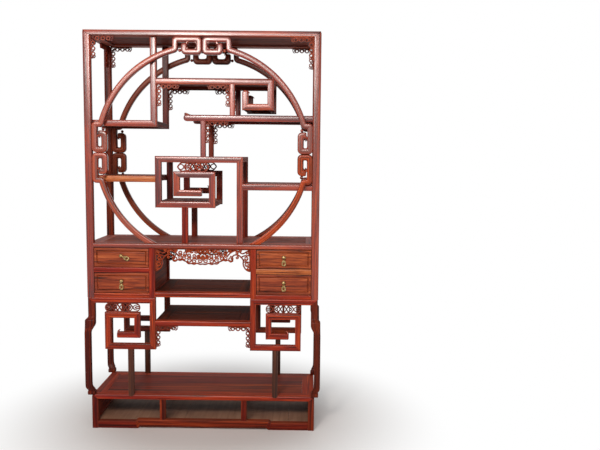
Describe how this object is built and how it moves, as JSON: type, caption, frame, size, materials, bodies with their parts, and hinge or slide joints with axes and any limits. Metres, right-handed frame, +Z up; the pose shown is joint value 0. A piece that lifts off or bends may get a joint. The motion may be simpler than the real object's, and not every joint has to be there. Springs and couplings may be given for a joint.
{
  "type": "chinese curio shelf",
  "caption": "Tall rosewood display shelf with a moon ring at front and back, scrolled stepped shelves, drawers with brass drop pulls, curved legs and an open plinth.",
  "frame": {"origin": "on the floor, under the middle of the shelf", "axes": "+Z up, -Y out of the front with the drawers, +X to the right of someone facing the front"},
  "size_m": [1.192, 0.422, 2],
  "materials": {
    "rosewood": "satin lacquer",
    "rosewood_panel": "satin lacquer",
    "rosewood_carved": "satin lacquer",
    "raw_board": "raw",
    "brass": "polished"
  },
  "bodies": {
    "shelf": {"corner_post_front_left": "rosewood", "corner_post_front_right": "rosewood", "corner_post_back_left": "rosewood", "corner_post_back_right": "rosewood", "curved_leg_front_left": "rosewood", "curved_leg_front_right": "rosewood", "curved_leg_back_left": "rosewood", "curved_leg_back_right": "rosewood", "top_frame": "rosewood", "top_panel": "rosewood_panel", "main_shelf_frame": "rosewood", "main_shelf_panel": "rosewood_panel", "base_top_frame": "rosewood", "base_top_panel": "rosewood_panel", "base_plinth": "rosewood", "base_bottom_board": "raw_board", "moon_gate_front": "rosewood", "moon_gate_back": "rosewood", "corner_box": "rosewood", "upper_shelf": "rosewood", "altar_shelf": "rosewood", "spiral_shelf": "rosewood", "left_shelf": "rosewood", "right_shelf": "rosewood", "upper_divider_front": "rosewood", "upper_divider_back": "rosewood", "lower_divider_front": "rosewood", "lower_divider_back": "rosewood", "spiral_post_front": "rosewood", "spiral_post_back": "rosewood", "drawer_case_left": "rosewood", "drawer_case_right": "rosewood", "centre_shelf_upper": "rosewood", "centre_shelf_lower": "rosewood", "lower_fret_front_left": "rosewood", "lower_fret_front_right": "rosewood", "lower_fret_back_left": "rosewood", "lower_fret_back_right": "rosewood", "fret_post_front_left": "rosewood", "fret_post_front_right": "rosewood", "fret_post_back_left": "rosewood", "fret_post_back_right": "rosewood", "carved_apron_front": "rosewood_carved", "carved_apron_back": "rosewood_carved"},
    "drawer_upper_left": {"drawer_front_upper_left": "rosewood_panel", "drawer_box_upper_left": "raw_board", "pull_stud_upper_left": "brass"},
    "drawer_lower_left": {"drawer_front_lower_left": "rosewood_panel", "drawer_box_lower_left": "raw_board", "pull_stud_lower_left": "brass"},
    "drawer_upper_right": {"drawer_front_upper_right": "rosewood_panel", "drawer_box_upper_right": "raw_board", "pull_stud_upper_right": "brass"},
    "drawer_lower_right": {"drawer_front_lower_right": "rosewood_panel", "drawer_box_lower_right": "raw_board", "pull_stud_lower_right": "brass"},
    "pull_upper_left": {"pull_drop_upper_left": "brass"},
    "pull_lower_left": {"pull_drop_lower_left": "brass"},
    "pull_upper_right": {"pull_drop_upper_right": "brass"},
    "pull_lower_right": {"pull_drop_lower_right": "brass"}
  },
  "joints": [
    {"name": "drawer_upper_left_slide", "type": "slide", "parent": "shelf", "child": "drawer_upper_left", "axis": [0, -1, 0], "range_m": [0, 0.24]},
    {"name": "drawer_lower_left_slide", "type": "slide", "parent": "shelf", "child": "drawer_lower_left", "axis": [0, -1, 0], "range_m": [0, 0.24]},
    {"name": "drawer_upper_right_slide", "type": "slide", "parent": "shelf", "child": "drawer_upper_right", "axis": [0, -1, 0], "range_m": [0, 0.24]},
    {"name": "drawer_lower_right_slide", "type": "slide", "parent": "shelf", "child": "drawer_lower_right", "axis": [0, -1, 0], "range_m": [0, 0.24]},
    {"name": "pull_upper_left_swing", "type": "hinge", "parent": "drawer_upper_left", "child": "pull_upper_left", "pos_m": [-0.39391, -0.197, 0.88666], "axis": [-0.4226, 0, -0.9063], "range_deg": [0, 95]},
    {"name": "pull_lower_left_swing", "type": "hinge", "parent": "drawer_lower_left", "child": "pull_lower_left", "pos_m": [-0.4075, -0.197, 0.7495], "axis": [-1, 0, 0], "range_deg": [0, 95]},
    {"name": "pull_upper_right_swing", "type": "hinge", "parent": "drawer_upper_right", "child": "pull_upper_right", "pos_m": [0.4075, -0.197, 0.878], "axis": [-1, 0, 0], "range_deg": [0, 95]},
    {"name": "pull_lower_right_swing", "type": "hinge", "parent": "drawer_lower_right", "child": "pull_lower_right", "pos_m": [0.4075, -0.197, 0.7495], "axis": [-1, 0, 0], "range_deg": [0, 95]}
  ]
}
